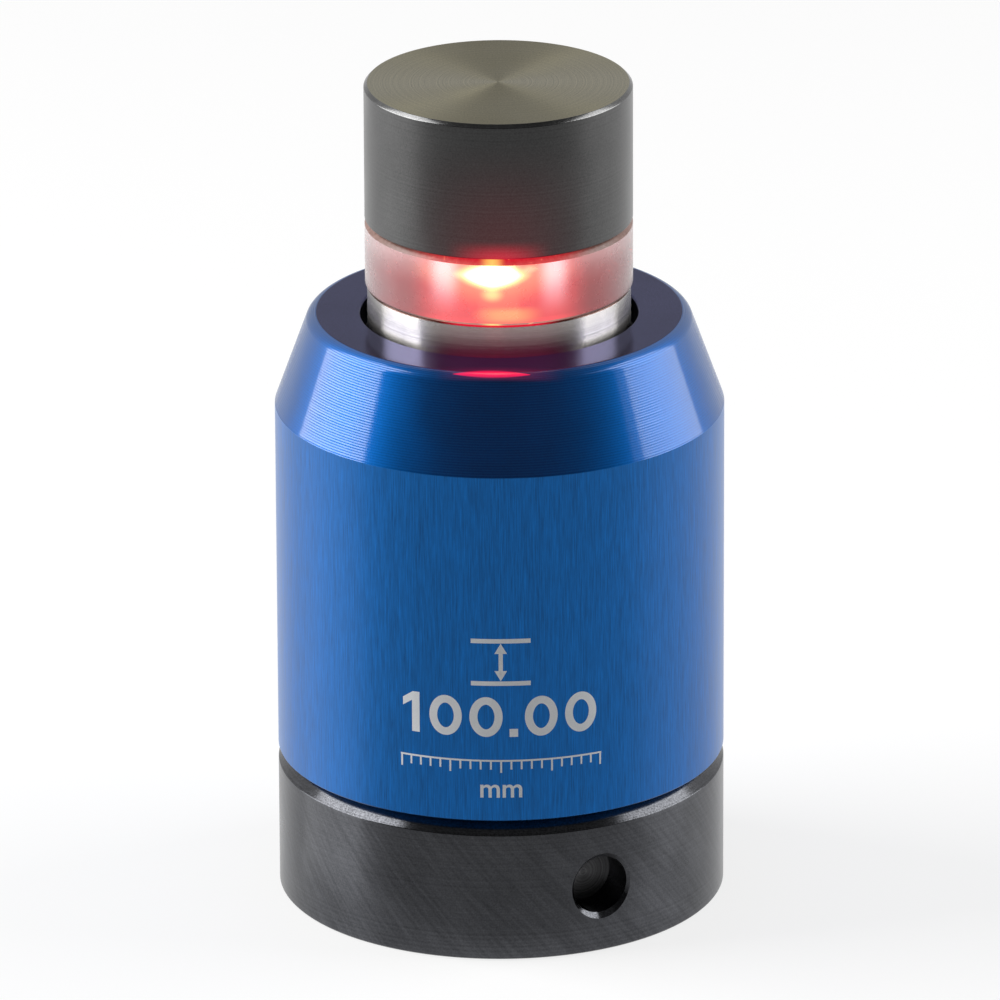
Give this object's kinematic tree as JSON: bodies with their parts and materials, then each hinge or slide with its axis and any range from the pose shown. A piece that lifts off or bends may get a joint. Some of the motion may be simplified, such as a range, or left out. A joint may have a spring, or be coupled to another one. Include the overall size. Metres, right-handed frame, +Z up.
{
  "type": "electric tool setter",
  "caption": "Upright round tool setter: spring-loaded black contact cap with a lit window ring, blue conical-shouldered housing and black magnet foot with a spanner hole.",
  "frame": {"origin": "centre of the foot's underside, on the table it stands on", "axes": "+Z up through the contact face, -Y towards the lamp and the front"},
  "size_m": [0.053, 0.053, 0.1],
  "materials": {
    "base_steel": "satin",
    "magnet": "matte",
    "brass": "satin",
    "resin": "gloss",
    "pole_steel": "satin",
    "screw_steel": "satin",
    "housing_blue": "satin",
    "seal_rubber": "matte",
    "bronze": "satin",
    "wiper_felt": "matte",
    "pin_steel": "satin",
    "spring_steel": "satin",
    "plunger_steel": "satin",
    "window_clear": "gloss",
    "cap_black": "satin",
    "insulator_plastic": "matte",
    "washer_plastic": "matte",
    "cap_screw_steel": "satin",
    "holder_plastic": "matte",
    "contact_brass": "satin",
    "contact_pin_brass": "satin",
    "board": "satin",
    "led_red": "gloss",
    "lead_wire": "satin",
    "resistor": "matte",
    "sleeve_brass": "satin",
    "cell": "satin",
    "cell_sleeve_plastic": "matte",
    "cell_spring_steel": "satin",
    "plug_brass": "satin"
  },
  "bodies": {
    "body": {"base": "base_steel", "magnet": "magnet", "magnet_spacer": "brass", "resin_ring": "resin", "pole_core": "pole_steel", "core_screw": "screw_steel", "housing": "housing_blue", "base_seal": "seal_rubber", "guide_bush": "bronze", "wiper_ring": "wiper_felt", "guide_pin": "pin_steel", "return_spring": "spring_steel"},
    "head": {"plunger": "plunger_steel", "window": "window_clear", "cap": "cap_black", "insulator": "insulator_plastic", "insulating_washer": "washer_plastic", "cap_screw": "cap_screw_steel", "contact_holder": "holder_plastic", "contact_plate": "contact_brass", "contact_pin": "contact_pin_brass", "led_board": "board", "led": "led_red", "led_leads": "lead_wire", "resistor": "resistor", "contact_sleeve": "sleeve_brass", "cell": "cell", "cell_sleeve": "cell_sleeve_plastic", "cell_spring": "cell_spring_steel", "cell_plug": "plug_brass"}
  },
  "joints": [
    {"name": "head_press", "type": "slide", "parent": "body", "child": "head", "axis": [0, 0, -1], "range_m": [0, 0.0035], "stiffness_N_per_m": 450, "springref_m": -0.021, "deforming": ["return_spring"]}
  ]
}
